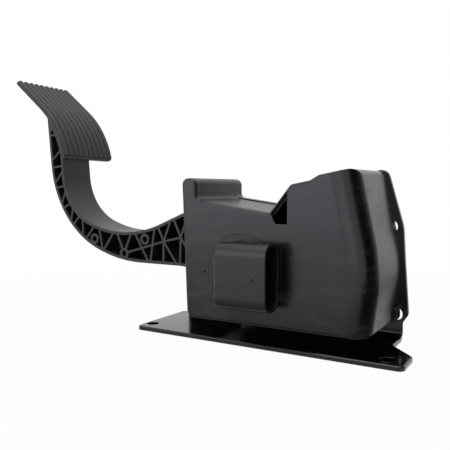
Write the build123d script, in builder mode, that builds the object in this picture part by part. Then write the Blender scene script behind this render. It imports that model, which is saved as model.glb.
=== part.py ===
"""Accelerator pedal on a bent sheet bracket: moulded housing, lattice lever, angle sensor.

Frame: X along the base plate, Y away from the connector side, Z up, millimetres.
The origin lies on the underside of the base plate, midway between its two floor holes.
"""
import os
from math import atan2, cos, degrees, radians, sin, tan

from build123d import *

# Bracket: one steel sheet, bent up behind the housing
sheet = 3.0
bend_radius = 3.0
floor_hole_spacing = 174.0
floor_hole_radius = 4.5
plate_front = 11.0
plate_left_margin = 6.5
plate_right_margin = 11.0
plate_left_depth = 61.0
plate_corner = 4.0
plate_edge_round = 0.6
ear_depth = 23.5
ear_slope_depth = 20.0
relief_width = 3.5
relief_depth = 4.0
upright_left = -42.5
upright_right = 81.2
upright_shelf = 80.0
upright_slope_left = 16.0
upright_slope_right = 36.0
upright_slope_top = 108.0
upright_top_right = 69.8
upright_top = 116.8
upright_bulge = 4.0
upright_waist = 1.5
upright_round = 6.0
upright_foot_round = 3.0
upright_side_round = 30.0
upright_hole_radius = 4.5
upper_hole_x = 72.9
upper_hole_z = 77.3
lower_hole_x = 77.0
lower_hole_z = 18.4

# Housing: drafted moulded tub, open at the back
housing_bottom = 14.0
housing_left = -49.2
housing_right = 76.3
housing_depth = 57.0
wall = 2.5
draft = 0.5
left_lean = 4.0
post_top = 110.0
post_width = 11.7
shelf_left_top = 95.4
shelf_right = 13.8
shelf_right_top = 87.5
tower_left = 28.0
tower_left_top = 105.2
tower_step_left = 40.5
tower_step_width = 5.6
tower_step_rise = 2.2
tower_right = 67.7
tower_right_top = 114.8
belly_right = 81.1
belly_height = 52.3
belly_round = 110.0
base_left_round = 6.5
base_right_round = 3.0
tower_round = 4.5
step_round = 3.0
crown_round = 4.0
post_round = 4.5
valley_round = 2.0
front_round = 2.4
corner_round = 16.0
corner_set_out = 0.02
slot_clearance = 1.5
window_left = 18.5
window_right = 26.5
window_bottom = 80.5
window_rim = 1.3
gate_mark_radius = 1.4
gate_mark_height = 0.8
gate_mark_taper = 30.0
gate_mark_offset = 29.0

# Rear cover: shallow tray
cover_depth = 9.0
cover_lip = 1.0
cover_post_inset = 1.4
cover_lug_height = 10.5
cover_lug_reach = 3.6
cover_lug_round = 4.0
bore_run_out = 0.5

# Pivot
pivot_x = -5.5
pivot_z = 48.0
shaft_radius = 5.0
running_clearance = 0.04
bush_wall = 2.0
boss_wall = 2.5
front_bush_length = 7.5
rear_bush_length = 12.0
side_clearance = 0.1
washer_thickness = 0.8
washer_radius = 9.0
swing_clearance = 1.5
pedal_travel = 15.0

# Sensor
disc_radius = 25.2
disc_thickness = 3.0
disc_boss_radius = 22.0
disc_boss_height = 2.0
disc_clearance = 0.1
chamber_radius = 20.0
chamber_depth = 12.5
spigot_length = 4.0
spigot_wall = 2.6
seal_section = 1.6
seal_clearance = 0.05
board_thickness = 1.6
board_clearance = 0.2
chip_length = 5.0
chip_width = 4.0
chip_thickness = 0.8
chip_spacing = 6.0
magnet_gap = 0.4
magnet_radius = 4.0
magnet_thickness = 1.2
rotor_radius = 7.5
rotor_web = 0.4
rotor_grip = 1.6

# Connector shroud on the sensor disc
shroud_length = 36.6
shroud_left = 9.6
shroud_height = 42.0
shroud_reach = 20.0
shroud_gap = 1.0
shroud_corner = 8.0
shroud_end_round = 2.5
shroud_wall = 1.8
shroud_gate_inset = 8.8
socket_depth = 26.0
pin_count = 6
pin_pitch = 5.0
pin_width = 1.5
pin_thickness = 0.8
pin_length = 14.0
pin_root = 5.0

# Lever arm: outer edge, inner edge and rib lattice
arm_near = 2.0
arm_width = 30.0
arm_flange = 2.2
arm_web = 2.4
arm_foot = 47.4
arm_top_angle = 41.9
arm_pad_bite = 0.8
outer_heel_x = -189.7
outer_heel_z = 71.5
outer_heel_round = 80.0
outer_foot_x = -119.7
outer_foot_round = 120.0
inner_heel_x = -178.1
inner_heel_z = 85.3
inner_heel_round = 43.5
inner_foot_x = -114.3
inner_foot_z = 63.3
inner_foot_round = 95.0
root_left = -59.5
root_shoulder_x = -50.5
root_shoulder_z = 89.8
root_back_x = -30.0
root_back_z = 84.0
root_round = 8.0
root_belly_round = 30.0
rib = 1.7
rib_boss_radius = 4.2
rib_hole_radius = 2.2
smallest_pocket = 3.0
hub_radius = 16.0
root_share = 0.96
root_offset = 4.0
tail_length = 46.0
tail_width = 22.0
tail_above = 5.5
tail_below = 4.5
tail_overhang = 9.0

# Pad
pad_width = 57.0
pad_thickness = 2.6
pad_straight = 37.4
pad_slope = 39.1
pad_radius = 72.2
pad_turn = 40.2
pad_bottom_x = -182.1
pad_bottom_z = 128.0
pad_corner = 4.5
ridge_count = 10
ridge_gap = 1.7
ridge_height = 1.2
ridge_bevel = 0.8
ridge_end = 2.5

# Return springs
spring_roof = 5.2
seat_thickness = 2.0
seat_radius = 10.5
seat_spigot_radius = 3.4
seat_spigot_height = 4.0
outer_spring_radius = 8.2
outer_spring_wire = 2.4
outer_spring_turns = 5
inner_spring_radius = 5.0
inner_spring_wire = 1.8
inner_spring_turns = 6
wire_flat_count = 6
spring_clearance = 0.1

# Stops
stop_clearance = 0.3
stop_radius = 5.0
stop_height = 5.5
stop_bevel = 1.0
stop_stem_radius = 2.0
stop_stem_length = 6.0
stop_post_radius = 6.5
travel_stop_offset = 27.0

# Fasteners
column_radius = 4.5
column_inset = 7.5
tower_column_drop = 11.0
cover_screw_radius = 1.75
cover_screw_length = 17.0
cover_head_radius = 3.4
cover_head_height = 2.6
cover_head_recess = 3.5
bracket_screw_radius = 2.4
bracket_head_radius = 4.8
bracket_head_height = 3.2
bracket_head_bevel = 0.8
bracket_screw_inset = 26.0
bracket_screw_rise = 9.5
insert_radius = 3.5
insert_length = 7.5
insert_boss_radius = 5.5
seat_clearance = 0.05
hole_clearance = 0.35

# Planes along the depth, and other places that follow from the sizes
front_y = -plate_front
seam_y = front_y + housing_depth
back_y = seam_y + cover_depth
rear_growth = housing_depth * tan(radians(draft))
arm_far = arm_near + arm_width
arm_middle = (arm_near + arm_far) / 2
chamber_y = front_y + chamber_depth
front_boss_y = chamber_y + 2 * wall
washer_space = washer_thickness + 2 * side_clearance
hub_near = front_boss_y + washer_space
rear_boss_y = arm_far + washer_space
bush_radius = shaft_radius + bush_wall
boss_radius = bush_radius + boss_wall
cup_radius = chamber_radius + wall
tail_x = pivot_x + tail_length
tail_top = pivot_z + tail_above
tail_bottom = pivot_z - tail_below
seat_top = tail_top + seat_thickness
board_y = front_y + disc_thickness
chip_y = board_y + board_thickness
rotor_y = chip_y + chip_thickness + magnet_gap
shaft_y = rotor_y + magnet_thickness + rotor_web
shaft_end_y = rear_boss_y + rear_bush_length
post_left = housing_left - left_lean
spring_ceiling = tower_left_top - spring_roof
MIN_Z = (Align.CENTER, Align.CENTER, Align.MIN)

os.makedirs("parts", exist_ok=True)


def facing(y):
    """Sketch plane across the depth: local x is X, local y is Z, the normal points at the viewer."""
    return Plane.XZ.offset(-y)


def rod(radius, x, z, y_from, y_to, mode=Mode.ADD):
    """Round bar or bore along Y in the part that is being built."""
    with Locations((x, y_from, z)):
        Cylinder(radius, y_to - y_from, rotation=(-90, 0, 0), align=MIN_Z, mode=mode)


def post(radius, x, y, z_from, z_to, mode=Mode.ADD):
    """Round bar or bore along Z in the part that is being built."""
    with Locations((x, y, z_from)):
        Cylinder(radius, z_to - z_from, align=MIN_Z, mode=mode)


def keep(node, name):
    """Label a finished piece and write it as one file."""
    node.part.label = name
    export_step(node.part, f"parts/{name}.step")


# Housing form

def housing_face(y, grow=0.0, post_inset=0.0, shelf_lip=0.0):
    """Front view of the housing as a face at depth y, grown or shrunk all round."""
    post_right = post_left + post_width - post_inset
    tower_slope = (tower_right_top - tower_left_top - tower_step_rise) / (tower_right - tower_left)
    step_low = tower_left_top + tower_slope * (tower_step_left - tower_left)
    step_right = tower_step_left + tower_step_width
    step_high = step_low + tower_slope * tower_step_width + tower_step_rise
    corners = {
        (housing_left, housing_bottom): base_left_round,
        (housing_right, housing_bottom): base_right_round,
        (belly_right, belly_height): belly_round,
        (tower_right, tower_right_top): tower_round,
        (step_right, step_high): step_round,
        (tower_step_left, step_low): step_round,
        (tower_left, tower_left_top): crown_round,
        (shelf_right, shelf_right_top + shelf_lip): valley_round,
        (post_right, shelf_left_top + shelf_lip): crown_round,
        (post_right, post_top): post_round,
        (post_left, post_top): post_round,
    }
    with BuildSketch(facing(y)) as face:
        with BuildLine():
            FilletPolyline(*corners, radius=list(corners.values()), close=True)
        make_face()
        if grow:
            offset(amount=grow)
    return face.sketch


def tub_form(inset):
    """Drafted tub body, set in on its closed sides, with the large round of its right front corner.

    The round is set out by a hair, so that it meets the drafted wall just short of tangent.
    """
    near = front_y + inset
    radius = corner_round - inset
    shift = radius * tan(radians(draft)) - inset + corner_set_out
    low_lean = (belly_right - housing_right) / (belly_height - housing_bottom)
    high_lean = (belly_right - tower_right) / (tower_right_top - belly_height)
    with BuildLine(facing(near)) as corner_line:
        FilletPolyline(
            (housing_right + shift - low_lean * corner_round, housing_bottom - corner_round),
            (belly_right + shift, belly_height),
            (tower_right + shift - high_lean * corner_round, tower_right_top + corner_round),
            radius=belly_round,
        )
    corner_start = Plane(corner_line.line @ 0, x_dir=(0, 1, 0), z_dir=corner_line.line % 0)
    with BuildSketch(corner_start) as corner_cut:
        Rectangle(2 * radius, 2 * radius)
        with Locations((radius, radius)):
            Circle(radius, mode=Mode.SUBTRACT)
    with BuildPart() as form:
        extrude(housing_face(near, -inset), amount=inset - housing_depth, taper=-draft)
        if not inset:
            fillet(form.edges().group_by(Axis.Y)[0], front_round)
        sweep(corner_cut.sketch, path=corner_line.line, mode=Mode.SUBTRACT)
    return form.part


tub_outside = tub_form(0)
tub_inside = tub_form(wall)

# Screw places in the front view: four columns at the corners, four bracket screws further in
column_places = [
    (housing_left + column_inset, housing_bottom + column_inset),
    (housing_right - column_inset, housing_bottom + column_inset),
    (tower_right - column_inset, tower_right_top - tower_column_drop),
    (post_left + post_width / 2, post_top - column_inset),
]
bracket_screw_places = [
    (housing_left + bracket_screw_inset, housing_bottom + bracket_screw_rise),
    (housing_right - bracket_screw_inset, housing_bottom + bracket_screw_rise),
    (housing_left + bracket_screw_inset, upright_shelf - column_inset),
    (tower_right - column_inset, upright_shelf + column_inset),
]

# Side view of the lever: the pad's back and the two edges of the arm
pad_low_angle = 90 - pad_slope - pad_turn
pad_center = Vector(
    pad_bottom_x - pad_radius * cos(radians(pad_low_angle)),
    pad_bottom_z - pad_radius * sin(radians(pad_low_angle)),
)
arm_arc_radius = pad_radius + arm_pad_bite
arm_low_angle = pad_low_angle + degrees(arm_flange / pad_radius)
pivot = Vector(pivot_x, pivot_z)
root_bottom = (pivot_x - root_offset, pivot_z - hub_radius * root_share)
root_top = (pivot_x + root_offset, pivot_z + hub_radius * root_share)
with BuildLine() as inner_edge:
    pad_joint = CenterArc(pad_center, arm_arc_radius, arm_top_angle, arm_low_angle - arm_top_angle)
    FilletPolyline(
        pad_joint @ 1,
        (inner_heel_x, inner_heel_z),
        (inner_foot_x, inner_foot_z),
        (root_shoulder_x, root_shoulder_z),
        (root_back_x, root_back_z),
        root_top,
        radius=[inner_heel_round, inner_foot_round, root_round, root_round],
    )
with BuildLine() as outer_edge:
    FilletPolyline(
        pad_joint @ 0,
        (outer_heel_x, outer_heel_z),
        (outer_foot_x, arm_foot),
        (root_left, arm_foot),
        root_bottom,
        radius=[outer_heel_round, outer_foot_round, root_belly_round],
    )
inner_wire = Wire(inner_edge.edges())
outer_wire = Wire(outer_edge.edges())


def between(outer_share, inner_share, height):
    """Point between the two edges of the arm, each taken at a share of its length."""
    low = outer_wire @ outer_share
    return low + (inner_wire @ inner_share - low) * height


def at_full_travel(x, z):
    """Place of a point of the lever when the pedal is fully down."""
    return (Vector(x, z) - pivot).rotate(Axis.Z, pedal_travel) + pivot


# Stops: the tail rests on one, the underside of the arm's root comes down to the other
idle_stop_top = tail_bottom - stop_clearance
travel_stop_x = pivot_x - travel_stop_offset
belly_left = at_full_travel(root_left, arm_foot)
belly_run = at_full_travel(*root_bottom) - belly_left
belly_fall = belly_run.Y / belly_run.X
belly_low = belly_left.Y + belly_fall * (travel_stop_x - belly_left.X)
travel_stop_top = belly_low - abs(belly_fall) * stop_radius - stop_clearance

# Bracket
plate_left = -floor_hole_spacing / 2 - plate_left_margin
plate_right = floor_hole_spacing / 2 + plate_right_margin
bend_y = back_y - bend_radius
bend_outside = bend_radius + sheet
bend_z = bend_outside
ear_y = front_y + ear_depth
relief_left = upright_left - relief_width
plate_corners = {
    (plate_left, front_y): plate_corner,
    (plate_right, front_y): plate_corner,
    (plate_right, ear_y): plate_corner,
    (upright_right, ear_y + ear_slope_depth): plate_corner,
    (upright_right, bend_y): 0,
    (upright_left, bend_y): 0,
    (upright_left, bend_y - relief_depth): 0,
    (relief_left, bend_y - relief_depth): 0,
    (relief_left, front_y + plate_left_depth): 0,
    (plate_left, front_y + plate_left_depth): plate_corner,
}
upright_corners = {
    (upright_left, bend_z): 0,
    (upright_left, upright_shelf): upright_round,
    (upright_slope_left, upright_shelf): upright_round,
    (upright_slope_right, upright_slope_top): upright_round,
    (upright_top_right, upright_top): upright_round,
    (upright_right, upper_hole_z): upright_side_round,
    (upright_right + upright_waist, belly_height): upright_side_round,
    (upright_right + upright_bulge, lower_hole_z): upright_round,
    (upright_right, lower_hole_z - upright_round): upright_foot_round,
    (upright_right, bend_z): 0,
}
with BuildPart() as mounting_bracket:
    with BuildSketch():
        with BuildLine():
            FilletPolyline(*plate_corners, radius=list(plate_corners.values()), close=True)
        make_face()
        with GridLocations(floor_hole_spacing, 0, 2, 1):
            Circle(floor_hole_radius, mode=Mode.SUBTRACT)
    extrude(amount=sheet)
    plate_rim = mounting_bracket.faces().sort_by(Axis.Z)[-1].outer_wire()
    chamfer(plate_rim.edges().group_by(Axis.Y)[0], plate_edge_round)
    with BuildSketch(Plane.YZ.offset(upright_left)):
        with Locations((bend_y, bend_z)):
            Circle(bend_outside)
            Circle(bend_radius, mode=Mode.SUBTRACT)
            Rectangle(bend_outside, bend_outside, align=(Align.MIN, Align.MAX), mode=Mode.INTERSECT)
    extrude(amount=upright_right - upright_left)
    with BuildSketch(facing(back_y)):
        with BuildLine():
            FilletPolyline(*upright_corners, radius=list(upright_corners.values()), close=True)
        make_face()
        with Locations((upper_hole_x, upper_hole_z), (lower_hole_x, lower_hole_z)):
            Circle(upright_hole_radius, mode=Mode.SUBTRACT)
        with Locations(*bracket_screw_places):
            Circle(bracket_screw_radius + hole_clearance, mode=Mode.SUBTRACT)
    extrude(amount=-sheet)
keep(mounting_bracket, "mounting_bracket")

# Housing: inner posts and columns are trimmed to the tub before they join it
with BuildPart() as tub_fittings:
    rod(cup_radius, pivot_x, pivot_z, front_y, chamber_y + wall)
    rod(boss_radius, pivot_x, pivot_z, front_y, front_boss_y)
    rod(disc_radius + wall, pivot_x, pivot_z, front_y, front_y + disc_thickness + wall)
    post(stop_post_radius, tail_x, arm_middle, 0, idle_stop_top - stop_height)
    post(stop_post_radius, travel_stop_x, arm_middle, 0, travel_stop_top - stop_height)
    post(seat_radius + wall, tail_x, arm_middle, spring_ceiling, tower_right_top + housing_depth)
    for x, z in column_places:
        rod(column_radius, x, z, front_y, seam_y)
    add(tub_outside, mode=Mode.INTERSECT)

slot_reach = 2 * wall + left_lean
slot_low = travel_stop_top - slot_clearance
slot_high = root_shoulder_z + slot_clearance
with BuildPart() as housing:
    add(tub_outside)
    add(tub_inside, mode=Mode.SUBTRACT)
    add(tub_fittings.part)
    with Locations((post_left, arm_middle, (slot_low + slot_high) / 2)):
        Box(2 * slot_reach, arm_width + 2 * slot_clearance, slot_high - slot_low, mode=Mode.SUBTRACT)
    rod(disc_radius + disc_clearance, pivot_x, pivot_z, front_y, front_y + disc_thickness, mode=Mode.SUBTRACT)
    rod(chamber_radius, pivot_x, pivot_z, front_y, chamber_y, mode=Mode.SUBTRACT)
    rod(boss_radius, pivot_x, pivot_z, front_boss_y - front_bush_length, front_boss_y)
    rod(bush_radius + seat_clearance, pivot_x, pivot_z, front_y, front_boss_y, mode=Mode.SUBTRACT)
    pilot_radius = cover_screw_radius + seat_clearance
    for x, z in column_places:
        rod(pilot_radius, x, z, seam_y - cover_screw_length, seam_y, mode=Mode.SUBTRACT)
    stem_radius = stop_stem_radius + seat_clearance
    for x, top in ((tail_x, idle_stop_top), (travel_stop_x, travel_stop_top)):
        foot = top - stop_height
        post(stem_radius, x, arm_middle, foot - stop_stem_length, foot, mode=Mode.SUBTRACT)
    slope = (tower_left_top - shelf_right_top) / (tower_left - shelf_right)
    rim_drop = window_rim * (1 + slope**2) ** 0.5
    with BuildSketch(facing(front_y)) as window:
        with BuildLine():
            Polyline(
                (shelf_right + window_rim, shelf_right_top + slope * window_rim - rim_drop),
                (window_right, shelf_right_top + slope * (window_right - shelf_right) - rim_drop),
                (window_right, window_bottom),
                (window_left, window_bottom),
                close=True,
            )
        make_face()
    extrude(window.sketch, amount=-2 * wall, mode=Mode.SUBTRACT)
    with BuildSketch(facing(front_y)) as gate_mark:
        with Locations((pivot_x - gate_mark_offset, pivot_z)):
            Circle(gate_mark_radius)
    extrude(gate_mark.sketch, amount=gate_mark_height, taper=gate_mark_taper)
keep(housing, "housing")

# Rear cover: tray with the rear bearing, the insert bosses and the screw recesses
cover_head_y = back_y - cover_head_recess
with BuildPart() as rear_cover:
    extrude(housing_face(seam_y, rear_growth, cover_post_inset, cover_lip), amount=-cover_depth)
    with BuildSketch(facing(seam_y)) as lug:
        with Locations((housing_right - column_inset, housing_bottom)):
            RectangleRounded(
                column_inset + cover_lug_reach,
                cover_lug_height,
                cover_lug_round,
                align=(Align.MIN, Align.MIN),
            )
    extrude(lug.sketch, amount=-cover_depth)
    tray = housing_face(seam_y, rear_growth - wall, cover_post_inset, cover_lip)
    extrude(tray, amount=wall - cover_depth, mode=Mode.SUBTRACT)
    rod(boss_radius, pivot_x, pivot_z, rear_boss_y, back_y)
    for x, z in bracket_screw_places:
        rod(insert_boss_radius, x, z, seam_y, back_y)
    for x, z in column_places:
        rod(column_radius, x, z, seam_y, back_y)
    bore_end = shaft_end_y + bore_run_out
    rod(bush_radius + seat_clearance, pivot_x, pivot_z, rear_boss_y, bore_end, mode=Mode.SUBTRACT)
    for x, z in bracket_screw_places:
        rod(insert_radius + seat_clearance, x, z, back_y - insert_length, back_y, mode=Mode.SUBTRACT)
    for x, z in column_places:
        rod(cover_screw_radius + hole_clearance, x, z, seam_y, back_y, mode=Mode.SUBTRACT)
        rod(cover_head_radius + hole_clearance, x, z, cover_head_y, back_y, mode=Mode.SUBTRACT)
keep(rear_cover, "rear_cover")

with BuildPart() as cover_screws:
    for x, z in column_places:
        rod(cover_screw_radius, x, z, cover_head_y - cover_screw_length, cover_head_y)
        rod(cover_head_radius, x, z, cover_head_y, cover_head_y + cover_head_height)
keep(cover_screws, "cover_screws")

insert_bore = bracket_screw_radius + seat_clearance
with BuildPart() as threaded_inserts:
    for x, z in bracket_screw_places:
        rod(insert_radius, x, z, back_y - insert_length, back_y)
    for x, z in bracket_screw_places:
        rod(insert_bore, x, z, back_y - insert_length, back_y, mode=Mode.SUBTRACT)
keep(threaded_inserts, "threaded_inserts")

bracket_head_y = back_y + sheet
with BuildPart() as bracket_screws:
    for x, z in bracket_screw_places:
        rod(bracket_screw_radius, x, z, back_y - insert_length, bracket_head_y)
        rod(bracket_head_radius, x, z, bracket_head_y, bracket_head_y + bracket_head_height)
    chamfer(bracket_screws.edges().group_by(Axis.Y)[-1], bracket_head_bevel)
keep(bracket_screws, "bracket_screws")

# Pivot: shaft fast in the lever, plain bushes in housing and cover, a washer each side of the hub
with BuildPart() as pivot_shaft:
    rod(shaft_radius, pivot_x, pivot_z, shaft_y, shaft_end_y)
keep(pivot_shaft, "pivot_shaft")


def bush(y_from, y_to):
    """Plain bearing bush with running clearance on the shaft."""
    with BuildPart() as sleeve:
        rod(bush_radius, pivot_x, pivot_z, y_from, y_to)
        rod(shaft_radius + running_clearance, pivot_x, pivot_z, y_from, y_to, mode=Mode.SUBTRACT)
    return sleeve


keep(bush(front_boss_y - front_bush_length, front_boss_y), "front_bush")
keep(bush(rear_boss_y, shaft_end_y), "rear_bush")

with BuildPart() as thrust_washers:
    for y in (front_boss_y + side_clearance, arm_far + side_clearance):
        rod(washer_radius, pivot_x, pivot_z, y, y + washer_thickness)
        rod(shaft_radius + side_clearance, pivot_x, pivot_z, y, y + washer_thickness, mode=Mode.SUBTRACT)
keep(thrust_washers, "thrust_washers")

# Lever: rib lattice of the arm, given by shares along its outer and inner edge
rungs = [(0.060, 0.070), (0.160, 0.172), (0.225, 0.234), (0.296, 0.293), (0.363, 0.345), (0.430, 0.412)]
rung_step = 0.012
ribs = [(outer_wire @ low, inner_wire @ high) for low, high in rungs]
for (_, above), (below, _) in zip(rungs[1:], rungs[2:]):
    ribs.append((outer_wire @ (below - rung_step), inner_wire @ (above + rung_step)))
upper_boss = between(0.465, 0.422, 0.36)
lower_boss = between(0.592, 0.526, 0.23)
middle_boss = between(0.675, 0.602, 0.72)
crossing = between(0.748, 0.664, 0.57)
root_crossing = between(0.805, 0.727, 0.57)
bosses = [upper_boss, lower_boss, middle_boss]
ribs += [
    (outer_wire @ 0.056, inner_wire @ 0.040),
    (outer_wire @ 0.140, inner_wire @ 0.121),
    (outer_wire @ 0.507, inner_wire @ 0.429),
    (outer_wire @ 0.507, inner_wire @ 0.490),
    (lower_boss, inner_wire @ 0.499),
    (lower_boss, inner_wire @ 0.556),
    (outer_wire @ 0.683, inner_wire @ 0.566),
    (outer_wire @ 0.687, inner_wire @ 0.642),
    (lower_boss, crossing),
    (crossing, root_crossing),
    (crossing, inner_wire @ 0.652),
    (crossing, inner_wire @ 0.703),
    (crossing, outer_wire @ 0.733),
    (crossing, outer_wire @ 0.781),
    (root_crossing, inner_wire @ 0.711),
    (root_crossing, inner_wire @ 0.770),
    (root_crossing, outer_wire @ 0.789),
    (root_crossing, outer_wire @ 0.860),
    (inner_wire @ 0.840, outer_wire @ 0.860),
]

with BuildSketch(facing(arm_near)) as arm_side:
    with BuildLine():
        add(outer_edge.line)
        add(inner_edge.line)
        Line(outer_wire @ 1, inner_wire @ 1)
    make_face()
with BuildSketch(facing(arm_near)) as arm_pockets:
    offset(arm_side.sketch_local, amount=-arm_flange)
    with Locations(pivot):
        Circle(hub_radius, mode=Mode.SUBTRACT)
    for start, end in ribs:
        run = end - start
        with Locations((start + end) / 2):
            Rectangle(run.length, rib, rotation=degrees(atan2(run.Y, run.X)), mode=Mode.SUBTRACT)
    with Locations(*bosses):
        Circle(rib_boss_radius, mode=Mode.SUBTRACT)
near_pockets = arm_pockets.sketch.faces().filter_by(lambda pocket: pocket.area > smallest_pocket)
pocket_depth = (arm_width - arm_web) / 2
far_pockets = [pocket.moved(Location((0, arm_width - pocket_depth, 0))) for pocket in near_pockets]


def pad_layer(y, inside, outside, foot=0.0):
    """Side view of a layer of the pad between two heights over its back, its lower end cut short."""
    low = pad_low_angle + degrees(foot / pad_radius)
    turn = pad_low_angle + pad_turn - low
    with BuildSketch(facing(y)) as layer:
        with BuildLine():
            back = CenterArc(pad_center, pad_radius + inside, low, turn)
            back_tip = Line(back @ 1, back @ 1 + pad_straight * (back % 1))
            front = CenterArc(pad_center, pad_radius + outside, low, turn)
            front_tip = Line(front @ 1, front @ 1 + pad_straight * (front % 1))
            Line(back @ 0, front @ 0)
            Line(back_tip @ 1, front_tip @ 1)
        make_face()
    return layer.sketch


ridge_pitch = pad_width / ridge_count
with BuildPart() as pad_plate:
    extrude(pad_layer(arm_near, 0, pad_thickness), amount=-pad_width)
    ends = pad_plate.edges().filter_by(lambda edge: abs(edge.length - pad_thickness) < seat_clearance)
    fillet(ends.group_by(Axis.Y)[-1].sort_by(Axis.Z)[0], pad_corner)
with BuildPart() as pad_ridge:
    extrude(pad_layer(arm_near, 0, pad_thickness + ridge_height, ridge_end), amount=ridge_gap - ridge_pitch)
    crest = pad_radius + pad_thickness + ridge_height
    arcs = pad_ridge.edges().filter_by(GeomType.CIRCLE)
    rims = arcs.filter_by(lambda rim: abs(rim.radius - crest) < seat_clearance)
    chamfer(rims, ridge_bevel)

with BuildPart() as pedal_lever:
    extrude(arm_side.sketch, amount=-arm_width)
    rod(hub_radius, pivot_x, pivot_z, arm_near, arm_far)
    with Locations((pivot_x, arm_middle, tail_bottom)):
        Box(
            tail_length + tail_overhang,
            tail_width,
            tail_above + tail_below,
            align=(Align.MIN, Align.CENTER, Align.MIN),
        )
    extrude(near_pockets, amount=-pocket_depth, mode=Mode.SUBTRACT)
    extrude(far_pockets, amount=-pocket_depth, mode=Mode.SUBTRACT)
    for place in bosses:
        rod(rib_hole_radius, place.X, place.Y, arm_near, arm_far, mode=Mode.SUBTRACT)
    rod(cup_radius + swing_clearance, pivot_x, pivot_z, arm_near, hub_near, mode=Mode.SUBTRACT)
    rod(shaft_radius + seat_clearance, pivot_x, pivot_z, hub_near, arm_far, mode=Mode.SUBTRACT)
    add(pad_plate.part)
    with Locations(*[(0, ridge_pitch * place + ridge_gap / 2, 0) for place in range(ridge_count)]):
        add(pad_ridge.part)
keep(pedal_lever, "pedal_lever")

# Return springs: two coils, one inside the other, from a cup on the tail to the housing roof
with BuildPart() as spring_seat:
    post(seat_radius, tail_x, arm_middle, tail_top, seat_top)
    post(seat_spigot_radius, tail_x, arm_middle, seat_top, seat_top + seat_spigot_height)
keep(spring_seat, "spring_seat")


def coil_spring(radius, wire, turns):
    """Wire wound from the seat on the tail up to the housing roof, its round section drawn with flats."""
    foot = seat_top + spring_clearance + wire / 2
    height = spring_ceiling - spring_clearance - wire / 2 - foot
    with BuildPart() as spring:
        with BuildLine() as coil:
            Helix(height / turns, height, radius, center=(tail_x, arm_middle, foot))
        with BuildSketch(Plane(coil.line @ 0, z_dir=coil.line % 0)) as section:
            RegularPolygon(wire / 2, wire_flat_count)
        sweep(section.sketch, path=coil.line, is_frenet=True)
    return spring


keep(coil_spring(outer_spring_radius, outer_spring_wire, outer_spring_turns), "return_spring_outer")
keep(coil_spring(inner_spring_radius, inner_spring_wire, inner_spring_turns), "return_spring_inner")


def bumper(x, top):
    """Rubber stop with a stem pressed into its post."""
    with BuildPart() as stop:
        post(stop_radius, x, arm_middle, top - stop_height, top)
        chamfer(stop.edges().group_by(Axis.Z)[-1], stop_bevel)
        post(stop_stem_radius, x, arm_middle, top - stop_height - stop_stem_length, top - stop_height)
    return stop


keep(bumper(tail_x, idle_stop_top), "idle_stop")
keep(bumper(travel_stop_x, travel_stop_top), "full_travel_stop")

# Sensor: disc with connector shroud, spigot and seal in front, board and chips behind, magnet on the shaft
spigot_radius = chamber_radius - disc_clearance
seal_radius = chamber_radius - seal_clearance
seal_inside = seal_radius - seal_section
seal_y = board_y + (spigot_length - seal_section) / 2
shroud_back = front_y - shroud_gap
shroud_depth = shroud_reach - shroud_gap
shroud_y = shroud_back - shroud_depth / 2
shroud_end = pivot_x - shroud_left + shroud_length
socket_floor = shroud_end - socket_depth
pin_places = [(shroud_y, pivot_z + pin_pitch * (place - (pin_count - 1) / 2)) for place in range(pin_count)]
with BuildPart() as sensor_body:
    with BuildSketch(Plane.YZ.offset(shroud_end - shroud_length)):
        with Locations((shroud_y, pivot_z)):
            RectangleRounded(shroud_depth, shroud_height, shroud_corner)
    extrude(amount=shroud_length)
    fillet(sensor_body.edges().group_by(Axis.X)[0], shroud_end_round)
    with BuildSketch(Plane.YZ.offset(socket_floor)):
        with Locations((shroud_y, pivot_z)):
            socket_corner = shroud_corner - shroud_wall
            RectangleRounded(shroud_depth - 2 * shroud_wall, shroud_height - 2 * shroud_wall, socket_corner)
    extrude(amount=socket_depth, mode=Mode.SUBTRACT)
    with BuildSketch(Plane.YZ.offset(socket_floor)):
        with Locations(*pin_places):
            Rectangle(pin_thickness + 2 * seat_clearance, pin_width + 2 * seat_clearance)
    extrude(amount=-pin_root, mode=Mode.SUBTRACT)
    rod(disc_boss_radius, pivot_x, pivot_z, front_y - disc_boss_height, front_y)
    rod(disc_radius, pivot_x, pivot_z, front_y, board_y)
    rod(spigot_radius, pivot_x, pivot_z, board_y, board_y + spigot_length)
    rod(spigot_radius - spigot_wall, pivot_x, pivot_z, board_y, board_y + spigot_length, mode=Mode.SUBTRACT)
    with BuildSketch(facing(seal_y)) as groove:
        with Locations(pivot):
            Circle(spigot_radius)
            Circle(seal_inside - seal_clearance, mode=Mode.SUBTRACT)
    extrude(groove.sketch, amount=-seal_section, mode=Mode.SUBTRACT)
    with BuildSketch(facing(front_y - shroud_reach)) as shroud_gate:
        with Locations((shroud_end - shroud_gate_inset, pivot_z)):
            Circle(gate_mark_radius)
    extrude(shroud_gate.sketch, amount=gate_mark_height, taper=gate_mark_taper)
keep(sensor_body, "sensor_body")

with BuildPart() as sensor_seal:
    rod(seal_radius, pivot_x, pivot_z, seal_y, seal_y + seal_section)
    rod(seal_inside, pivot_x, pivot_z, seal_y, seal_y + seal_section, mode=Mode.SUBTRACT)
keep(sensor_seal, "sensor_seal")

with BuildPart() as terminal_pins:
    with BuildSketch(Plane.YZ.offset(socket_floor - pin_root)):
        with Locations(*pin_places):
            Rectangle(pin_thickness, pin_width)
    extrude(amount=pin_root + pin_length)
keep(terminal_pins, "terminal_pins")

with BuildPart() as circuit_board:
    rod(spigot_radius - spigot_wall - board_clearance, pivot_x, pivot_z, board_y, chip_y)
keep(circuit_board, "circuit_board")

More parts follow.
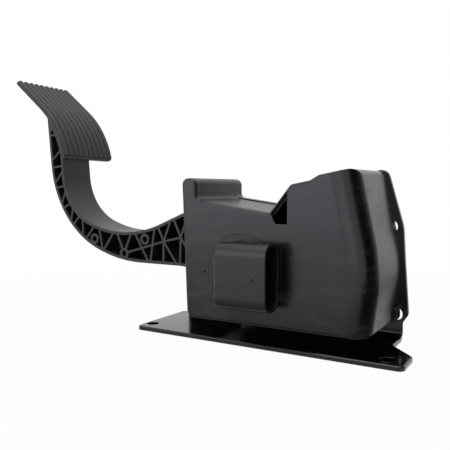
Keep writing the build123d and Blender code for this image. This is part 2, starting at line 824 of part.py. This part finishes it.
with BuildPart() as sensor_chips:
    with BuildSketch(facing(chip_y)):
        with Locations(pivot):
            with GridLocations(chip_spacing, 0, 2, 1):
                Rectangle(chip_width, chip_length)
    extrude(amount=-chip_thickness)
keep(sensor_chips, "sensor_chips")

with BuildPart() as sensor_magnet:
    rod(magnet_radius, pivot_x, pivot_z, rotor_y, rotor_y + magnet_thickness)
keep(sensor_magnet, "sensor_magnet")

with BuildPart() as sensor_rotor:
    rod(rotor_radius, pivot_x, pivot_z, rotor_y, shaft_y + rotor_grip)
    recess_radius = magnet_radius + seat_clearance
    rod(recess_radius, pivot_x, pivot_z, rotor_y, rotor_y + magnet_thickness, mode=Mode.SUBTRACT)
    rod(shaft_radius + seat_clearance, pivot_x, pivot_z, shaft_y, shaft_y + rotor_grip, mode=Mode.SUBTRACT)
keep(sensor_rotor, "sensor_rotor")
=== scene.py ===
from math import cos, pi, sin

import bmesh
import bpy
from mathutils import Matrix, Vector


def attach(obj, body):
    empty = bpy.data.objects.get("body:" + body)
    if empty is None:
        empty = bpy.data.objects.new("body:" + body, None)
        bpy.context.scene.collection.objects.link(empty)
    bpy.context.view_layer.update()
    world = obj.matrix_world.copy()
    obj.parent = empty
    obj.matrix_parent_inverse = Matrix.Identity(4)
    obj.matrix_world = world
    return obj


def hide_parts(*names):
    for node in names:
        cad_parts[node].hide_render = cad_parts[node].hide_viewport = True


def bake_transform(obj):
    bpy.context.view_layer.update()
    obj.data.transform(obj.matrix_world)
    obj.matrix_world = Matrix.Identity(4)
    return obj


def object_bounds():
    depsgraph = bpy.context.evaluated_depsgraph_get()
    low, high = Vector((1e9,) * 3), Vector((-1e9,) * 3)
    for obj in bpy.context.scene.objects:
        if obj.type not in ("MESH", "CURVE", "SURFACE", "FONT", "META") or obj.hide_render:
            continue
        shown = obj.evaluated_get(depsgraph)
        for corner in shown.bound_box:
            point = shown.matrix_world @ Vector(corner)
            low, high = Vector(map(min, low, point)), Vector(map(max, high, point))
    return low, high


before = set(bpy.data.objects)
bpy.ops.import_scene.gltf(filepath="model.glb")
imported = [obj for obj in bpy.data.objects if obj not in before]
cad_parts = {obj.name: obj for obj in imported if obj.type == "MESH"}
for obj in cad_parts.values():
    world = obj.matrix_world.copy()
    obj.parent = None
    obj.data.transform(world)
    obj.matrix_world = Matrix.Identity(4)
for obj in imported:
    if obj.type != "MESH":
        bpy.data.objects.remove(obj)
cad_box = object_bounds()

# Mounting bracket: one 3 mm steel sheet, cut, bent up behind the housing and dip coated in black.
# The cut edges are paler and bluer, partly because the coat lies thin there and partly as a painted
# highlight. A faint ripple runs over the flats.
# Two bolts through its ends hold the pedal to the car's floor.


class Signal:
    """A value in a finish. Arithmetic on it adds the nodes that work it out."""

    def __init__(self, finish, socket):
        self.finish = finish
        self.socket = socket

    def maths(self, operation, first, second):
        return self.finish.node("ShaderNodeMath", {"operation": operation}, {0: first, 1: second})

    def __add__(self, other):
        return self.maths("ADD", self, other)

    def __sub__(self, other):
        return self.maths("SUBTRACT", self, other)

    def __rsub__(self, other):
        return self.maths("SUBTRACT", other, self)

    def __mul__(self, other):
        return self.maths("MULTIPLY", self, other)

    __radd__ = __add__
    __rmul__ = __mul__

    def ramp(self, low, high):
        """0 below low, 1 above high, eased between them."""
        return self.finish.node(
            "ShaderNodeMapRange",
            {"interpolation_type": "SMOOTHSTEP"},
            {"Value": self, "From Min": low, "From Max": high},
        )


class Finish:
    """A material for one kind of surface, measured in metres on the piece itself."""

    first_colour, second_colour, mixed_colour = 6, 7, 2  # a Mix node's sockets for colours

    def __init__(self, name, shelf=bpy.data.materials):
        self.material = shelf.new(name)
        self.material.use_nodes = True
        self.material.node_tree.nodes.clear()
        self.place = self.node("ShaderNodeTexCoord", {}, {}, "Object")

    def node(self, kind, settings, sockets, output=0):
        """Any node, by its type, its settings and the values or links of its sockets."""
        made = self.material.node_tree.nodes.new(kind)
        for name, value in settings.items():
            setattr(made, name, value)
        for name, value in sockets.items():
            if isinstance(value, Signal):
                self.material.node_tree.links.new(value.socket, made.inputs[name])
            else:
                made.inputs[name].default_value = value
        return Signal(self, made.outputs[output]) if made.outputs else None

    def stretched(self, x, y, z):
        """The place on the piece with each axis scaled by its own factor."""
        return self.node(
            "ShaderNodeVectorMath", {"operation": "MULTIPLY"}, {0: self.place, 1: (x, y, z)}
        )

    def noise(self, size, detail=3.0, place=None):
        """Cloudy value about 0.5, with patches about size metres across."""
        return self.node(
            "ShaderNodeTexNoise",
            {},
            {
                "Vector": place or self.place,
                "Scale": 1 / size,
                "Detail": detail,
                "Roughness": 0.55,
            },
        )

    def mix(self, factor, first, second):
        """Colour that goes from first to second with the factor."""
        return self.node(
            "ShaderNodeMix",
            {"data_type": "RGBA"},
            {"Factor": factor, self.first_colour: first, self.second_colour: second},
            self.mixed_colour,
        )

    def likeness(self, first, second):
        """How far two directions agree, from -1 to 1."""
        return self.node(
            "ShaderNodeVectorMath", {"operation": "DOT_PRODUCT"}, {0: first, 1: second}, "Value"
        )

    def facing(self, direction):
        """How far the surface faces a direction, from -1 to 1."""
        normal = self.node("ShaderNodeNewGeometry", {}, {}, "Normal")
        return self.likeness(normal, direction)

    def edges(self, radius):
        """Normal with the sharp edges eased over a radius, and a value that is 1 on them."""
        eased = self.node("ShaderNodeBevel", {"samples": 6}, {"Radius": radius})
        normal = self.node("ShaderNodeNewGeometry", {}, {}, "Normal")
        return eased, (1 - self.likeness(eased, normal)).ramp(0.02, 0.2)

    def bump(self, height, depth, normal=None):
        """Normal that follows a height of so many metres."""
        sockets = {"Height": height, "Distance": depth, "Strength": 1.0}
        if normal:
            sockets["Normal"] = normal
        return self.node("ShaderNodeBump", {}, sockets)

    def shade(self, **sockets):
        """End the material on a surface shader and return it."""
        named = {name.replace("_", " "): value for name, value in sockets.items()}
        surface = self.node("ShaderNodeBsdfPrincipled", {}, named)
        self.node("ShaderNodeOutputMaterial", {}, {"Surface": surface})
        return self.material


def dress(material, *names):
    """Give CAD pieces a finish."""
    for name in names:
        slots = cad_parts[name].data.materials
        slots.clear()
        slots.append(material)


coat_deep = (0.0008, 0.0008, 0.001, 1)
coat_dusty = (0.0045, 0.0044, 0.0041, 1)
coat_thin_highlit = (0.012, 0.013, 0.016, 1)
coat = Finish("coated_steel")
coat_edge_normal, coat_edge = coat.edges(radius=0.0007)
ripple = coat.noise(size=0.0028, detail=2.0)
dust = coat.noise(size=0.03, detail=5.0).ramp(0.45, 0.75)
along_plate = coat.stretched(0.12, 1.0, 1.0)
scuff = coat.noise(size=0.0016, detail=4.0, place=along_plate).ramp(0.62, 0.72)
coat_black = coat.mix(dust * 0.6 + scuff * 0.25, coat_deep, coat_dusty)
dress(
    coat.shade(
        # Paler bluish edges: partly the thin coat, partly a painted highlight along the edges.
        Base_Color=coat.mix(coat_edge * 0.6, coat_black, coat_thin_highlit),
        Roughness=0.11 + dust * 0.06 + scuff * 0.08,
        IOR=1.5,
        Normal=coat.bump(ripple, depth=0.00003, normal=coat_edge_normal),
    ),
    "mounting_bracket",
)

# Housing and rear cover: glass-filled nylon, moulded satin black and screwed together at the seam.
# The skin shows fine tool grain, cloudy flow patches, and draw marks where a side left the tool.
# Handling has left faint smears along the faces, and dust lies on what faces up.
housing_deep = (0.0005, 0.0005, 0.0007, 1)
housing_pale = (0.005, 0.0049, 0.006, 1)
housing_smear = (0.016, 0.0155, 0.017, 1)
housing_dust = (0.085, 0.08, 0.07, 1)
housing_rubbed_highlit = (0.028, 0.028, 0.031, 1)
cool_gloss = (0.93, 0.91, 1.0, 1)
housing_skin = Finish("housing_plastic")
housing_edge_normal, housing_edge = housing_skin.edges(radius=0.0006)
cloud = housing_skin.noise(size=0.014, detail=5.0)
mottle = housing_skin.noise(size=0.0022, detail=4.0)
grain = housing_skin.noise(size=0.00045)
up_the_wall = housing_skin.stretched(1.0, 1.0, 0.05)
draw = housing_skin.noise(size=0.0012, place=up_the_wall).ramp(0.5, 0.8)
side = housing_skin.facing((1, 0, 0)).ramp(0.7, 0.95)
top = housing_skin.facing((0, 0, 1)).ramp(0.9, 0.99)
along_faces = housing_skin.stretched(0.3, 0.3, 1.0)
smear = housing_skin.noise(size=0.006, detail=5.0, place=along_faces).ramp(0.48, 0.7)
tool_grain = (mottle * 0.25 + grain * 0.12) * (1 - side * 0.75)
housing_relief = cloud * 0.15 + tool_grain + side * draw * 0.12
housing_cloudy = cloud * 0.4 + mottle.ramp(0.3, 0.7) * 0.6
housing_black = housing_skin.mix(housing_cloudy, housing_deep, housing_pale)
housing_smeared = housing_skin.mix(smear * 0.8, housing_black, housing_smear)
housing_dusty = housing_skin.mix(top * (0.3 + cloud * 0.5), housing_smeared, housing_dust)
skin_rough = 0.19 + cloud * 0.06 + mottle * 0.04
worn_rough = smear * 0.06 + side * (0.04 + draw * 0.08) + top * 0.16
dress(
    housing_skin.shade(
        # Paler edges: partly rubbed wear, partly a painted highlight along the edges.
        Base_Color=housing_skin.mix(housing_edge * 0.5, housing_dusty, housing_rubbed_highlit),
        Roughness=skin_rough + worn_rough,
        IOR=1.5,
        Specular_Tint=cool_gloss,
        Normal=housing_skin.bump(housing_relief, depth=0.00007, normal=housing_edge_normal),
    ),
    "housing",
    "rear_cover",
)

# Cover screws and bracket screws: cold-headed steel, zinc plated, with a six-lobe drive.
# Four hold the cover on the housing from behind, and four go through the upright into the inserts.
screw_facets = 48
lobes = 6
lobe_depth = 0.14
rows_per_turn = 6
thread_depth = 0.3
point_rows = 8
point_width = 0.7
# From the seat round the head and into the drive: share of its radius, share of its height, lobes
head_profile = [
    (1.0, 0.0, 0.0),
    (1.0, 0.45, 0.0),
    (0.93, 0.75, 0.0),
    (0.78, 0.94, 0.0),
    (0.66, 1.0, 0.0),
    (0.55, 1.0, lobe_depth),
    (0.506, 0.88, lobe_depth),
    (0.484, 0.3, lobe_depth),
    (0.11, 0.2, 0.0),
]


def ring(bm, radius, x, y, z, lobe=0.0):
    """Loop of points about an axis along Y, wavy by a share of its radius."""
    loop = []
    for place in range(screw_facets):
        turn = 2 * pi * place / screw_facets
        reach = radius * (1 + lobe * cos(lobes * turn))
        loop.append(bm.verts.new((x + reach * cos(turn), y, z + reach * sin(turn))))
    return loop


def skin(bm, loops):
    """Closed skin over loops of the same count, capped at both ends."""
    for low, high in zip(loops, loops[1:]):
        for place in range(len(low)):
            after = (place + 1) % len(low)
            bm.faces.new((low[place], low[after], high[after], high[place]))
    bm.faces.new(loops[0])
    bm.faces.new(reversed(loops[-1]))


def screw(bm, x, z, seat, head_radius, head_height, shank_radius, length, pitch):
    """Threaded shank in front of the seat, and behind it a pan head with a drive recess."""
    rows = int(rows_per_turn * length / pitch)
    loops = []
    for row in range(rows, -1, -1):
        loop = ring(bm, shank_radius, x, seat - length * row / rows, z)
        taper = point_width + (1 - point_width) * min(1.0, (rows - row) / point_rows)
        for place, corner in enumerate(loop):
            rise = (row / rows_per_turn + place / screw_facets) % 1.0
            depth = thread_depth * pitch * abs(2 * rise - 1) if row else 0.0
            pull = (1 - depth / shank_radius) * taper
            corner.co.x = x + (corner.co.x - x) * pull
            corner.co.z = z + (corner.co.z - z) * pull
        loops.append(loop)
    for wide, high, lobe in head_profile:
        loops.append(ring(bm, wide * head_radius, x, seat + high * head_height, z, lobe))
    skin(bm, loops)


def place_mesh(bm, name, smooth_angle=0.6):
    """Turn finished mesh code into a piece of the scene, smooth but for its sharp edges."""
    bmesh.ops.recalc_face_normals(bm, faces=bm.faces)
    for face in bm.faces:
        face.smooth = True
    for edge in bm.edges:
        edge.smooth = edge.is_manifold and edge.calc_face_angle() < smooth_angle
    mesh = bpy.data.meshes.new(name)
    bm.to_mesh(mesh)
    bm.free()
    piece = bpy.data.objects.new(name, mesh)
    bpy.context.scene.collection.objects.link(piece)
    return piece


def make_screws(name, node, places, **sizes):
    """Set of like screws that stands for a CAD node."""
    bm = bmesh.new()
    for x, z in places:
        screw(bm, x, z, **sizes)
    piece = place_mesh(bm, name)
    piece.data.materials.append(zinc_plate)
    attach(piece, "base")
    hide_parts(node)


zinc_dull = (0.42, 0.43, 0.42, 1)
zinc_bright = (0.62, 0.62, 0.58, 1)
zinc = Finish("plated_steel")
zinc_patch = zinc.noise(size=0.0018, detail=4.0)
zinc_rub = zinc.noise(size=0.0006, detail=2.0)
zinc_plate = zinc.shade(
    Base_Color=zinc.mix(zinc_patch, zinc_dull, zinc_bright),
    Metallic=1.0,
    Roughness=0.26 + zinc_patch * 0.16,
    Normal=zinc.bump(zinc_rub, depth=0.00001),
)
make_screws(
    "cover_screws_detail",
    "cover_screws",
    places=[(-0.0417, 0.0215), (0.0688, 0.0215), (0.0602, 0.1038), (-0.04735, 0.1025)],
    seat=0.0515,
    head_radius=0.0034,
    head_height=0.0026,
    shank_radius=0.00175,
    length=0.017,
    pitch=0.0013,
)
make_screws(
    "bracket_screws_detail",
    "bracket_screws",
    places=[(-0.0232, 0.0235), (0.0503, 0.0235), (-0.0232, 0.0725), (0.0602, 0.0875)],
    seat=0.058,
    head_radius=0.0048,
    head_height=0.0032,
    shank_radius=0.0024,
    length=0.0105,
    pitch=0.0008,
)

# Threaded inserts: four turned brass sleeves, rough outside so that they grip.
# They are pressed warm into bosses of the rear cover, and take the bracket screws.
brass_dark = (0.52, 0.36, 0.12, 1)
brass_bright = (0.7, 0.52, 0.2, 1)
brass = Finish("insert_brass")
knurl = brass.noise(size=0.0007, detail=2.0)
dress(
    brass.shade(
        Base_Color=brass.mix(knurl, brass_dark, brass_bright),
        Metallic=1.0,
        Roughness=0.3 + knurl * 0.12,
        Normal=brass.bump(knurl, depth=0.00003),
    ),
    "threaded_inserts",
)

# Pivot: a ground steel shaft pressed into the lever, turning in two plain acetal bushes.
# A loose acetal washer each side of the hub takes the side load.
# The springs' seat and the sensor's rotor are moulded from the same acetal.
ground_dark = (0.48, 0.48, 0.49, 1)
ground_bright = (0.62, 0.62, 0.63, 1)
ground = Finish("ground_steel")
along_shaft = ground.stretched(1.0, 0.08, 1.0)
grind = ground.noise(size=0.0003, place=along_shaft)
dress(
    ground.shade(
        Base_Color=ground.mix(grind, ground_dark, ground_bright),
        Metallic=1.0,
        Roughness=0.16 + grind * 0.14,
        Normal=ground.bump(grind, depth=0.000006),
    ),
    "pivot_shaft",
)
acetal_cream = (0.62, 0.6, 0.52, 1)
acetal_white = (0.74, 0.72, 0.65, 1)
acetal = Finish("bearing_plastic")
acetal_cloud = acetal.noise(size=0.004)
acetal_swirl = acetal.noise(size=0.0005, detail=2.0)
dress(
    acetal.shade(
        Base_Color=acetal.mix(acetal_cloud, acetal_cream, acetal_white),
        Roughness=0.36 + acetal_swirl * 0.1,
        Subsurface_Weight=0.1,
        Subsurface_Radius=(0.001, 0.0009, 0.0007),
        Normal=acetal.bump(acetal_swirl, depth=0.00001),
    ),
    "front_bush",
    "rear_bush",
    "thrust_washers",
    "spring_seat",
    "sensor_rotor",
)

# Return springs: two oil-tempered steel coils, one inside the other, wound the same way.
# They stand on the seat on the lever's tail and push against the housing roof.
# As the pedal goes down they shorten, and their feet tilt with the seat.
spring_x = 0.0405
spring_y = 0.017
spring_foot = 0.0555
spring_roof = 0.1
end_gap = 0.0001
flat_turns = 0.75
wire_facets = 12
turn_steps = 36


def coil(name, node, radius, wire, turns):
    """Round wire on a helix whose end turns close up against their seats."""
    bm = bmesh.new()
    low = spring_foot + end_gap + wire / 2
    high = spring_roof - end_gap - wire / 2
    open_turns = turns - 2 * flat_turns
    rise = (high - low - wire * flat_turns) / open_turns
    loops = []
    for step in range(turns * turn_steps + 1):
        turn = step / turn_steps
        climb = min(max(turn - flat_turns, 0.0), open_turns)
        settle = min(turn, flat_turns) + max(turn - (turns - flat_turns), 0.0)
        height = low + climb * rise + settle * wire / 2
        angle = 2 * pi * turn
        loop = []
        for place in range(wire_facets):
            around = 2 * pi * place / wire_facets
            reach = radius + wire / 2 * cos(around)
            spot = (
                spring_x + reach * cos(angle),
                spring_y + reach * sin(angle),
                height + wire / 2 * sin(around),
            )
            loop.append(bm.verts.new(spot))
        loops.append(loop)
    skin(bm, loops)
    piece = place_mesh(bm, name)
    piece.data.materials.append(spring_wire)
    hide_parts(node)
    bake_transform(piece)


tempered_dark = (0.13, 0.13, 0.135, 1)
tempered_grey = (0.24, 0.235, 0.23, 1)
tempered = Finish("spring_steel")
scale_patch = tempered.noise(size=0.003, detail=4.0)
die_line = tempered.noise(size=0.0004, detail=2.0)
spring_wire = tempered.shade(
    Base_Color=tempered.mix(scale_patch, tempered_dark, tempered_grey),
    Metallic=1.0,
    Roughness=0.3 + scale_patch * 0.15,
    Normal=tempered.bump(die_line, depth=0.00001),
)
coil("outer_spring_wire", "return_spring_outer", radius=0.0082, wire=0.0024, turns=5)
coil("inner_spring_wire", "return_spring_inner", radius=0.005, wire=0.0018, turns=6)

# Stops: two moulded rubber bumpers pushed by their stems into posts on the housing floor.
# The tail rests on one, and the root of the arm meets the other at the end of the travel.
rubber_black = (0.012, 0.012, 0.012, 1)
rubber_bloom = (0.03, 0.029, 0.028, 1)
rubber = Finish("stop_rubber")
bloom = rubber.noise(size=0.002, detail=5.0)
pores = rubber.noise(size=0.0003, detail=2.0)
dress(
    rubber.shade(
        Base_Color=rubber.mix(bloom, rubber_black, rubber_bloom),
        Roughness=0.65 + bloom * 0.2,
        Normal=rubber.bump(pores, depth=0.00003),
    ),
    "idle_stop",
    "full_travel_stop",
)

# Pedal lever: arm, pad, hub and tail moulded as one in black glass-filled nylon.
# Ribs stiffen the arm, and ridges on the pad hold the shoe.
# Shoes have rubbed the pad's skin a little browner than the arm's.
arm_deep = (0.006, 0.006, 0.0064, 1)
arm_pale = (0.015, 0.015, 0.0153, 1)
pad_deep = (0.006, 0.0058, 0.0055, 1)
pad_pale = (0.017, 0.0161, 0.0152, 1)
lever_rubbed_highlit = (0.032, 0.032, 0.033, 1)
arm_top = 0.122
pad_foot = 0.135
lever_skin = Finish("lever_plastic")
lever_edge_normal, lever_edge = lever_skin.edges(radius=0.0005)
flow = lever_skin.noise(size=0.012, detail=5.0)
fibre = lever_skin.noise(size=0.0011, detail=4.0)
lever_grain = lever_skin.noise(size=0.0004, detail=2.0)
lever_height = lever_skin.node("ShaderNodeSeparateXYZ", {}, {"Vector": lever_skin.place}, "Z")
shoe = lever_height.ramp(arm_top, pad_foot)
arm_black = lever_skin.mix(flow * 0.6 + fibre * 0.4, arm_deep, arm_pale)
pad_black = lever_skin.mix(flow * 0.5 + fibre * 0.5, pad_deep, pad_pale)
lever_black = lever_skin.mix(shoe, arm_black, pad_black)
lever_relief = fibre * 0.6 + lever_grain * 0.4
dress(
    lever_skin.shade(
        # Paler edges: partly rubbed wear, partly a painted highlight along the edges.
        Base_Color=lever_skin.mix(lever_edge * 0.5, lever_black, lever_rubbed_highlit),
        Roughness=0.36 + flow * 0.1 + shoe * 0.06,
        IOR=1.5,
        Normal=lever_skin.bump(lever_relief, depth=0.00006, normal=lever_edge_normal),
    ),
    "pedal_lever",
)

# Sensor: moulded body with the connector shroud, snapped into the housing's front with a seal.
# Inside is a small board with two chips that read a magnet in a rotor on the shaft's end.
# Tinned brass pins lead out into the shroud.
sensor_deep = (0.0007, 0.0007, 0.0009, 1)
sensor_pale = (0.0062, 0.006, 0.0072, 1)
sensor_rubbed_highlit = (0.016, 0.016, 0.018, 1)
sensor_skin = Finish("sensor_plastic")
sensor_edge_normal, sensor_edge = sensor_skin.edges(radius=0.0005)
sensor_cloud = sensor_skin.noise(size=0.009, detail=5.0)
sensor_mottle = sensor_skin.noise(size=0.0018, detail=4.0)
sensor_cloudy = sensor_cloud * 0.4 + sensor_mottle.ramp(0.3, 0.7) * 0.6
sensor_black = sensor_skin.mix(sensor_cloudy, sensor_deep, sensor_pale)
sensor_relief = sensor_cloud + sensor_mottle
dress(
    sensor_skin.shade(
        # Paler edges: partly rubbed wear, partly a painted highlight along the edges.
        Base_Color=sensor_skin.mix(sensor_edge * 0.3, sensor_black, sensor_rubbed_highlit),
        Roughness=0.26 + sensor_cloud * 0.1,
        IOR=1.5,
        Specular_Tint=cool_gloss,
        Normal=sensor_skin.bump(sensor_relief, depth=0.00008, normal=sensor_edge_normal),
    ),
    "sensor_body",
)
tin_dull = (0.58, 0.55, 0.48, 1)
tin_bright = (0.72, 0.69, 0.62, 1)
tin = Finish("pin_brass")
tin_flow = tin.noise(size=0.001)
dress(
    tin.shade(
        Base_Color=tin.mix(tin_flow, tin_dull, tin_bright),
        Metallic=1.0,
        Roughness=0.22 + tin_flow * 0.14,
        Normal=tin.bump(tin_flow, depth=0.00001),
    ),
    "terminal_pins",
)
silicone_brown = (0.19, 0.07, 0.035, 1)
silicone_red = (0.26, 0.11, 0.06, 1)
silicone = Finish("seal_rubber")
silicone_cloud = silicone.noise(size=0.002)
dress(
    silicone.shade(
        Base_Color=silicone.mix(silicone_cloud, silicone_brown, silicone_red),
        Roughness=0.5 + silicone_cloud * 0.1,
        Normal=silicone.bump(silicone_cloud, depth=0.00002),
    ),
    "sensor_seal",
)
laminate_dark = (0.012, 0.09, 0.035, 1)
laminate_green = (0.025, 0.14, 0.06, 1)
laminate = Finish("board_laminate")
weave = laminate.noise(size=0.0009, detail=2.0)
dress(
    laminate.shade(
        Base_Color=laminate.mix(weave, laminate_dark, laminate_green),
        Roughness=0.25 + weave * 0.1,
        Coat_Weight=0.4,
        Normal=laminate.bump(weave, depth=0.00001),
    ),
    "circuit_board",
)
epoxy_black = (0.012, 0.012, 0.012, 1)
epoxy_grey = (0.03, 0.03, 0.031, 1)
epoxy = Finish("chip_plastic")
epoxy_grain = epoxy.noise(size=0.0004)
dress(
    epoxy.shade(
        Base_Color=epoxy.mix(epoxy_grain, epoxy_black, epoxy_grey),
        Roughness=0.5 + epoxy_grain * 0.15,
        Normal=epoxy.bump(epoxy_grain, depth=0.00001),
    ),
    "sensor_chips",
)
sinter_dark = (0.12, 0.12, 0.125, 1)
sinter_grey = (0.26, 0.26, 0.265, 1)
sinter = Finish("magnet_iron")
sinter_grain = sinter.noise(size=0.0005, detail=4.0)
dress(
    sinter.shade(
        Base_Color=sinter.mix(sinter_grain, sinter_dark, sinter_grey),
        Metallic=0.8,
        Roughness=0.4 + sinter_grain * 0.15,
        Normal=sinter.bump(sinter_grain, depth=0.00001),
    ),
    "sensor_magnet",
)

# Studio: white paper floor and surround, two soft lamps in front, one above, a weak one behind.
# Black nets stand at the right and behind and lie on the floor. Only reflections show them,
# so that the black mouldings mirror more than white. The nets on the floor in front of, behind
# and under the bracket are painted shadow: they stand for the floor's shade close to the pedal.
white = (1, 1, 1, 1)
paper_grey = (0.84, 0.84, 0.84, 1)
paper_pale = (0.88, 0.88, 0.88, 1)
net_black = (0.004, 0.004, 0.004, 1)
near_white = 0.96
floor_z = cad_box[0].z
floor_reach = 3


def seen_white(finish):
    """1 for what the camera sees, straight on, mirrored or through glass, 0 for light on things."""
    camera_ray, glossy_ray, glass_ray = (
        finish.node("ShaderNodeLightPath", {}, {}, path)
        for path in ("Is Camera Ray", "Is Glossy Ray", "Is Transmission Ray")
    )
    return (camera_ray + glossy_ray + glass_ray).ramp(0.0, 1.0)


def stage_sheet(name, corners, material):
    """Flat sheet of the studio, by its corners."""
    bm = bmesh.new()
    bm.faces.new([bm.verts.new(corner) for corner in corners])
    sheet = place_mesh(bm, name)
    sheet.data.materials.append(material)
    return sheet


def lying(x_from, x_to, y_from, y_to, lift=0.0):
    """Corners of a sheet that lies on the floor or just above it."""
    z = floor_z + lift
    return [(x_from, y_from, z), (x_to, y_from, z), (x_to, y_to, z), (x_from, y_to, z)]


def standing(x_from, x_to, y_from, y_to, top_z):
    """Corners of a sheet that stands on the floor."""
    foot = [(x_from, y_from, floor_z), (x_to, y_to, floor_z)]
    return foot + [(x_to, y_to, top_z), (x_from, y_from, top_z)]


paper = Finish("studio_paper")
paper_fibre = paper.noise(size=0.004)
paper_matt = paper.node(
    "ShaderNodeBsdfPrincipled",
    {},
    {
        "Base Color": paper.mix(paper_fibre, paper_grey, paper_pale),
        "Roughness": 1.0,
        "Specular IOR Level": 0.0,
    },
)
paper_white = paper.node("ShaderNodeEmission", {}, {"Color": white, "Strength": 1.0})
far_off = paper.node("ShaderNodeVectorMath", {"operation": "LENGTH"}, {0: paper.place}, "Value")
paper_share = seen_white(paper) * (near_white + far_off.ramp(0.2, 0.5) * (1 - near_white))
paper_seen = paper.node("ShaderNodeMixShader", {}, {0: paper_share, 1: paper_matt, 2: paper_white})
paper.node("ShaderNodeOutputMaterial", {}, {"Surface": paper_seen})
stage_sheet(
    "studio_floor",
    lying(-floor_reach, floor_reach, -floor_reach, floor_reach),
    paper.material,
)


def black_net(name, corners, cover):
    """Black net that only reflections show, closer or wider woven from place to place."""
    net = Finish(name)
    east, north, height = (
        net.node("ShaderNodeSeparateXYZ", {}, {"Vector": net.place}, axis) for axis in "XYZ"
    )
    holes = net.node("ShaderNodeBsdfTransparent", {}, {})
    threads = net.node("ShaderNodeBsdfDiffuse", {}, {"Color": net_black})
    share = cover(east, north, height)
    seen = net.node("ShaderNodeMixShader", {}, {0: share, 1: holes, 2: threads})
    net.node("ShaderNodeOutputMaterial", {}, {"Surface": seen})
    sheet = stage_sheet(name, corners, net.material)
    sheet.visible_camera = False
    sheet.visible_diffuse = False
    sheet.visible_shadow = False


def side_cover(east, north, height):
    """Wider towards the back and the top."""
    return (1 - north.ramp(0.12, 0.6) * 0.55) * (1 - height.ramp(0.3, 0.7))


def right_floor_cover(east, north, height):
    """Close beside the housing and past a slanting edge in front of it, wider far behind."""
    in_front = (east + north * 1.1).ramp(0.05, 0.13) * (1 - north.ramp(0.02, 0.1))
    beside = east.ramp(0.085, 0.17) * north.ramp(0.02, 0.1)
    return 0.95 * (in_front + beside * (1 - north.ramp(0.15, 0.4) * 0.6))


def front_shadow_cover(east, north, height):
    """Painted shadow, seen only in reflections: the floor's shade in front of the bracket, closer
    towards it, and wide again along its front edge.
    """
    closer = 0.5 * north.ramp(-0.2, -0.02) + 0.3 * north.ramp(-0.06, -0.03)
    return closer - 0.5 * north.ramp(-0.022, -0.014)


black_net("side_net", standing(0.47, 0.47, -0.14, 1.1, top_z=0.7), side_cover)
black_net("right_floor_net", lying(0.1, 0.47, -0.14, 0.6, lift=0.0004), right_floor_cover)
# Painted shadow in front of the bracket, seen only in reflections.
black_net("front_painted_shadow_net", lying(-0.3, 0.3, -0.3, -0.012, lift=0.0002), front_shadow_cover)
# Painted shadow, seen only in reflections: the floor's shade behind the upright.
black_net(
    "back_painted_shadow_net",
    lying(-0.138, 0.07, 0.064, 0.12, lift=0.0002),
    lambda east, north, height: 1 - north.ramp(0.09, 0.12),
)
# Painted shade, seen only in reflections: the floor under the bracket, where no light gets in, as
# seen through its bolt holes.
black_net(
    "bolt_hole_painted_shade_net",
    lying(-0.093, 0.093, -0.006, 0.006, lift=0.0002),
    lambda east, north, height: 1.0,
)
black_net(
    "low_back_net",
    standing(-0.138, -0.055, 0.12, 0.12, top_z=0.08),
    lambda east, north, height: 1 - height.ramp(0.06, 0.08),
)
black_net(
    "ear_net",
    standing(0.07, 0.087, 0.07, 0.07, top_z=0.03),
    lambda east, north, height: 1 - height.ramp(0.02, 0.03),
)

surround = Finish("studio_surround", bpy.data.worlds)
surround_light = surround.node("ShaderNodeBackground", {}, {"Color": white, "Strength": 0.45})
surround_white = surround.node("ShaderNodeBackground", {}, {"Color": white, "Strength": 1.0})
surround_seen = surround.node(
    "ShaderNodeMixShader", {}, {0: seen_white(surround), 1: surround_light, 2: surround_white}
)
surround.node("ShaderNodeOutputWorld", {}, {"Surface": surround_seen})
bpy.context.scene.world = surround.material

middle = (cad_box[0] + cad_box[1]) / 2


def set_up(holder, spot, direction):
    """Put a lamp or the camera at a spot, looking along a direction."""
    holder.location = spot
    holder.rotation_mode = "QUATERNION"
    holder.rotation_quaternion = Vector(direction).to_track_quat("-Z", "Y")
    bpy.context.scene.collection.objects.link(holder)


def softbox(name, spot, size, watts):
    """Square soft lamp at a spot, turned to the middle of the pedal."""
    lamp = bpy.data.lights.new(name, "AREA")
    lamp.size = size
    lamp.energy = watts
    holder = bpy.data.objects.new(name, lamp)
    holder.visible_camera = False
    set_up(holder, spot, middle - Vector(spot))


softbox("left_lamp", (-0.42, -0.8, 0.3), size=0.75, watts=2.0)
softbox("front_lamp", (0.35, -0.9, 0.3), size=0.7, watts=1.05)
softbox("top_lamp", (-0.05, -0.3, 1.05), size=0.8, watts=4.2)
softbox("back_lamp", (0.3, 0.95, 0.25), size=0.4, watts=0.04)

camera = bpy.data.cameras.new("camera")
camera.lens = 44.46
camera.sensor_width = 36.0
camera.clip_start = 0.01
stand = bpy.data.objects.new("camera", camera)
set_up(stand, (0.16969, -0.32272, 0.09989), (-0.51478, 0.85540, -0.05749))
bpy.context.scene.camera = stand
bpy.context.scene.view_settings.view_transform = "Standard"
